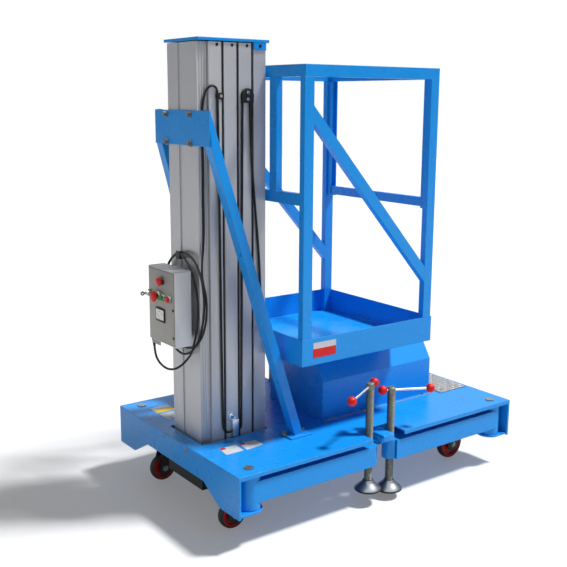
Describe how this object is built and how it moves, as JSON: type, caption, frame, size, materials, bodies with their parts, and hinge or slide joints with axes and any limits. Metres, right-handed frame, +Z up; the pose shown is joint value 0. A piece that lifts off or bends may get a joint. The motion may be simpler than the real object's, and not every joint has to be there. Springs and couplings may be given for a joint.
{
  "type": "vertical mast lift",
  "caption": "Wheeled one-person vertical mast lift: stacked aluminium mast sections carry a guarded platform over a steel base with fold-out jack legs.",
  "frame": {"origin": "floor point under the middle of the machine's box, halfway between the control knob's tip and the step end of the base", "axes": "+X from the mast end to the platform's entry end, +Z up, -Y the pictured long side"},
  "size_m": [1.392, 0.9332, 1.673],
  "materials": {
    "blue_enamel": "gloss",
    "mast_aluminium": "extruded, satin",
    "step_aluminium": "raised pattern",
    "zinc_steel": "zinc plated",
    "black_steel": "satin",
    "grey_enamel": "satin",
    "control_plastic": "moulded",
    "red_plastic": "moulded",
    "black_rubber": "matt",
    "black_cable": "satin",
    "black_plastic": "moulded"
  },
  "bodies": {
    "root": {"end_plates": "blue_enamel", "base_frame": "blue_enamel", "mast_well": "blue_enamel", "deck": "blue_enamel", "step_plate": "step_aluminium", "leg_pins": "zinc_steel", "power_cover": "blue_enamel", "power_unit": "black_steel", "mast_section_1": "mast_aluminium", "brace": "blue_enamel", "control_box": "grey_enamel", "control_hangers": "zinc_steel", "control_buttons": "control_plastic", "control_meter": "control_plastic", "caster_seats": "zinc_steel", "fork_3": "black_steel", "fork_4": "black_steel", "supply_cable": "black_cable", "supply_coil": "black_cable", "cable_gland": "black_plastic", "cable_clip": "black_plastic", "mast_cable_1": "black_cable"},
    "stage_2": {"mast_section_2": "mast_aluminium", "cable_guide": "zinc_steel"},
    "stage_3": {"mast_section_3": "mast_aluminium", "cable_clamp": "black_plastic", "mast_cable_2": "black_cable"},
    "platform": {"mast_section_4": "mast_aluminium", "mast_cap": "blue_enamel", "carriage": "blue_enamel", "tray": "blue_enamel", "guard_posts": "blue_enamel", "guard_side_rails": "blue_enamel", "guard_end_rails": "blue_enamel", "guard_diagonals": "blue_enamel", "guard_mast_side": "blue_enamel", "entry_guides": "blue_enamel"},
    "entry_bar": {"entry_bar": "blue_enamel"},
    "leg_1": {"leg_1": "blue_enamel"},
    "jack_1": {"jack_1": "zinc_steel", "jack_knobs_1": "red_plastic"},
    "wheel_1": {"tyre_1": "black_rubber", "hub_1": "red_plastic"},
    "leg_2": {"leg_2": "blue_enamel"},
    "jack_2": {"jack_2": "zinc_steel", "jack_knobs_2": "red_plastic"},
    "wheel_2": {"tyre_2": "black_rubber", "hub_2": "red_plastic"},
    "leg_3": {"leg_3": "blue_enamel"},
    "jack_3": {"jack_3": "zinc_steel", "jack_knobs_3": "red_plastic"},
    "wheel_3": {"tyre_3": "black_rubber", "hub_3": "red_plastic"},
    "leg_4": {"leg_4": "blue_enamel"},
    "jack_4": {"jack_4": "zinc_steel", "jack_knobs_4": "red_plastic"},
    "wheel_4": {"tyre_4": "black_rubber", "hub_4": "red_plastic"},
    "swivel_1": {"fork_1": "black_steel"},
    "swivel_2": {"fork_2": "black_steel"}
  },
  "joints": [
    {"name": "mast_lift_2", "type": "slide", "parent": "root", "child": "stage_2", "axis": [0, 0, 1], "range_m": [0, 1.15], "deforming": ["mast_cable_1"]},
    {"name": "mast_lift_3", "type": "slide", "parent": "stage_2", "child": "stage_3", "axis": [0, 0, 1], "range_m": [0, 1.15], "deforming": ["mast_cable_2"]},
    {"name": "mast_lift_4", "type": "slide", "parent": "stage_3", "child": "platform", "axis": [0, 0, 1], "range_m": [0, 1.15], "deforming": ["mast_cable_2"]},
    {"name": "entry_bar_lift", "type": "slide", "parent": "platform", "child": "entry_bar", "axis": [0, 0, 1], "range_m": [0, 0.4]},
    {"name": "leg_swing_1", "type": "hinge", "parent": "root", "child": "leg_1", "pos_m": [-0.564, -0.381, 0.2], "axis": [0, 0, -1], "range_deg": [0, 100]},
    {"name": "jack_screw_1", "type": "slide", "parent": "leg_1", "child": "jack_1", "axis": [0, 0, 1], "range_m": [-0.08, 0.06]},
    {"name": "leg_swing_2", "type": "hinge", "parent": "root", "child": "leg_2", "pos_m": [0.63, -0.381, 0.2], "axis": [0, 0, 1], "range_deg": [0, 100]},
    {"name": "jack_screw_2", "type": "slide", "parent": "leg_2", "child": "jack_2", "axis": [0, 0, 1], "range_m": [-0.08, 0.06]},
    {"name": "leg_swing_3", "type": "hinge", "parent": "root", "child": "leg_3", "pos_m": [-0.564, 0.381, 0.2], "axis": [0, 0, 1], "range_deg": [0, 100]},
    {"name": "jack_screw_3", "type": "slide", "parent": "leg_3", "child": "jack_3", "axis": [0, 0, 1], "range_m": [-0.08, 0.06]},
    {"name": "leg_swing_4", "type": "hinge", "parent": "root", "child": "leg_4", "pos_m": [0.63, 0.381, 0.2], "axis": [0, 0, -1], "range_deg": [0, 100]},
    {"name": "jack_screw_4", "type": "slide", "parent": "leg_4", "child": "jack_4", "axis": [0, 0, 1], "range_m": [-0.08, 0.06]},
    {"name": "caster_swivel_1", "type": "hinge", "parent": "root", "child": "swivel_1", "pos_m": [-0.522, -0.25, 0.13], "axis": [0, 0, 1], "continuous": true},
    {"name": "wheel_spin_1", "type": "hinge", "parent": "swivel_1", "child": "wheel_1", "pos_m": [-0.548, -0.25, 0.052], "axis": [0, 1, 0], "continuous": true},
    {"name": "caster_swivel_2", "type": "hinge", "parent": "root", "child": "swivel_2", "pos_m": [-0.522, 0.25, 0.13], "axis": [0, 0, 1], "continuous": true},
    {"name": "wheel_spin_2", "type": "hinge", "parent": "swivel_2", "child": "wheel_2", "pos_m": [-0.548, 0.25, 0.052], "axis": [0, 1, 0], "continuous": true},
    {"name": "wheel_spin_3", "type": "hinge", "parent": "root", "child": "wheel_3", "pos_m": [0.542, -0.25, 0.062], "axis": [0, 1, 0], "continuous": true},
    {"name": "wheel_spin_4", "type": "hinge", "parent": "root", "child": "wheel_4", "pos_m": [0.542, 0.25, 0.062], "axis": [0, 1, 0], "continuous": true}
  ],
  "couplings": [
    {"joint": "mast_lift_3", "follows": "mast_lift_2", "ratio": 1},
    {"joint": "mast_lift_4", "follows": "mast_lift_2", "ratio": 1}
  ]
}
